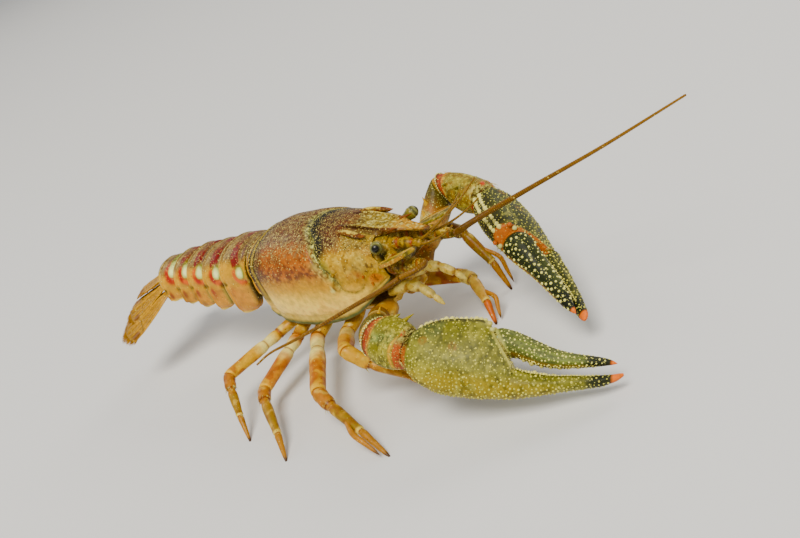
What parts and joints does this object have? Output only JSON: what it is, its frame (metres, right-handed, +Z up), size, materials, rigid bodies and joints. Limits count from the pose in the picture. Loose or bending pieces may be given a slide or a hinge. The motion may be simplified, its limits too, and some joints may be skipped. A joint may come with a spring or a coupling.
{
  "type": "crayfish model",
  "caption": "Life-size still model of a spiny-cheek crayfish in a walking stance: jointed shell body, long claws held forward, one feeler forward and one swept back, tail fan behind",
  "frame": {"origin": "middle of the footprint of the bounding box, on the floor under the feet", "axes": "+X from tail to head, +Y the animal's left side, +Z up"},
  "size_m": [0.1538, 0.0744, 0.0413],
  "materials": {
    "shell": "chitin, satin, speckled purple-brown back, orange sides fading to cream",
    "tail": "chitin, satin, tan with dark crimson patches on the sides",
    "fan": "thin golden orange chitin with fine rays",
    "leg": "amber chitin with pale joints",
    "underside": "pale horn-coloured chitin",
    "arm": "olive and cream chitin with orange patches",
    "claw": "olive to blue-green chitin with pale tubercles, dark bands and orange tips",
    "eye": "glossy dark grey",
    "mouth": "cream chitin",
    "feeler": "brown-olive chitin"
  },
  "bodies": {
    "root": {"carapace": "shell", "thorax": "underside", "leg2r.upper": "leg", "leg2r.lower": "leg", "leg2r.tip": "leg", "leg3r.upper": "leg", "leg3r.lower": "leg", "leg3r.tip": "leg", "leg4r.upper": "leg", "leg4r.lower": "leg", "leg4r.tip": "leg", "leg5r.upper": "leg", "leg5r.lower": "leg", "leg5r.tip": "leg", "leg2l.upper": "leg", "leg2l.lower": "leg", "leg2l.tip": "leg", "leg3l.upper": "leg", "leg3l.lower": "leg", "leg3l.tip": "leg", "leg4l.upper": "leg", "leg4l.lower": "leg", "leg4l.tip": "leg", "leg5l.upper": "leg", "leg5l.lower": "leg", "leg5l.tip": "leg", "cheliped.r.arm": "arm", "cheliped.r.wrist": "claw", "cheliped.r.palm": "claw", "cheliped.r.finger": "claw", "cheliped.l.arm": "arm", "cheliped.l.wrist": "claw", "cheliped.l.palm": "claw", "cheliped.l.finger": "claw", "abdomen.1": "tail", "abdomen.2": "tail", "abdomen.3": "tail", "abdomen.4": "tail", "abdomen.5": "tail", "abdomen.6": "tail", "tail.telson": "fan", "tail.inner.r": "fan", "tail.outer.r": "fan", "tail.inner.l": "fan", "tail.outer.l": "fan", "eye.r": "eye", "eye.l": "eye", "antenna.base.r": "feeler", "antenna.base.l": "feeler", "antenna.feeler.l": "feeler", "antenna.bend.r": "feeler", "antenna.feeler.r": "feeler", "antennule.r": "feeler", "antennule.l": "feeler", "maxilliped.r": "mouth", "maxilliped.l": "mouth"}
  },
  "joints": []
}
